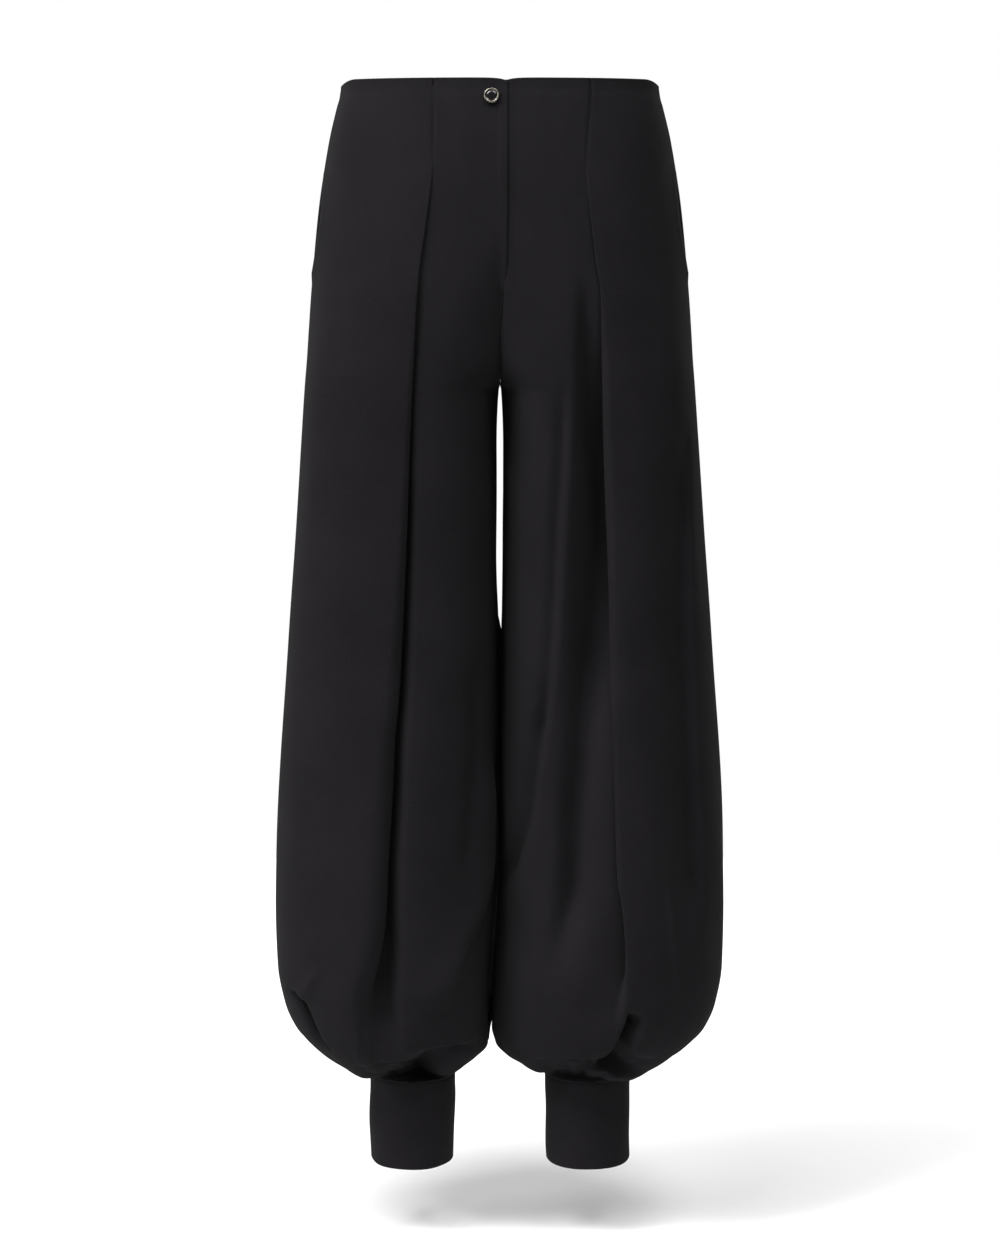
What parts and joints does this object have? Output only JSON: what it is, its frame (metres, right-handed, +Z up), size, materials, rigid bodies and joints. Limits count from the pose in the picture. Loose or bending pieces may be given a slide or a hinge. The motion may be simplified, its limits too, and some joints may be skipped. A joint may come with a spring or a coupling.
{
  "type": "harem trousers",
  "caption": "High-waisted harem trousers filled out with no wearer: pleated fronts, balloon legs gathered into plain ankle cuffs, slanted side pockets, buttoned fly.",
  "frame": {"origin": "middle of the waist opening, level with the waist edge", "axes": "+Z up along the garment, front faces -Y, +X towards the wearer's left"},
  "size_m": [0.4568, 0.2179, 1.09],
  "materials": {
    "suiting": "matte fine wool suiting, very dark charcoal",
    "button_metal": "polished gunmetal",
    "button_face": "glossy black"
  },
  "bodies": {
    "root": {"front_right": "suiting", "front_left": "suiting", "back_right": "suiting", "back_left": "suiting", "cuff_right": "suiting", "cuff_left": "suiting", "pocket_facing_right": "suiting", "pocket_facing_left": "suiting", "fly_shield": "suiting", "button_rim": "button_metal", "button_face": "button_face"}
  },
  "joints": []
}
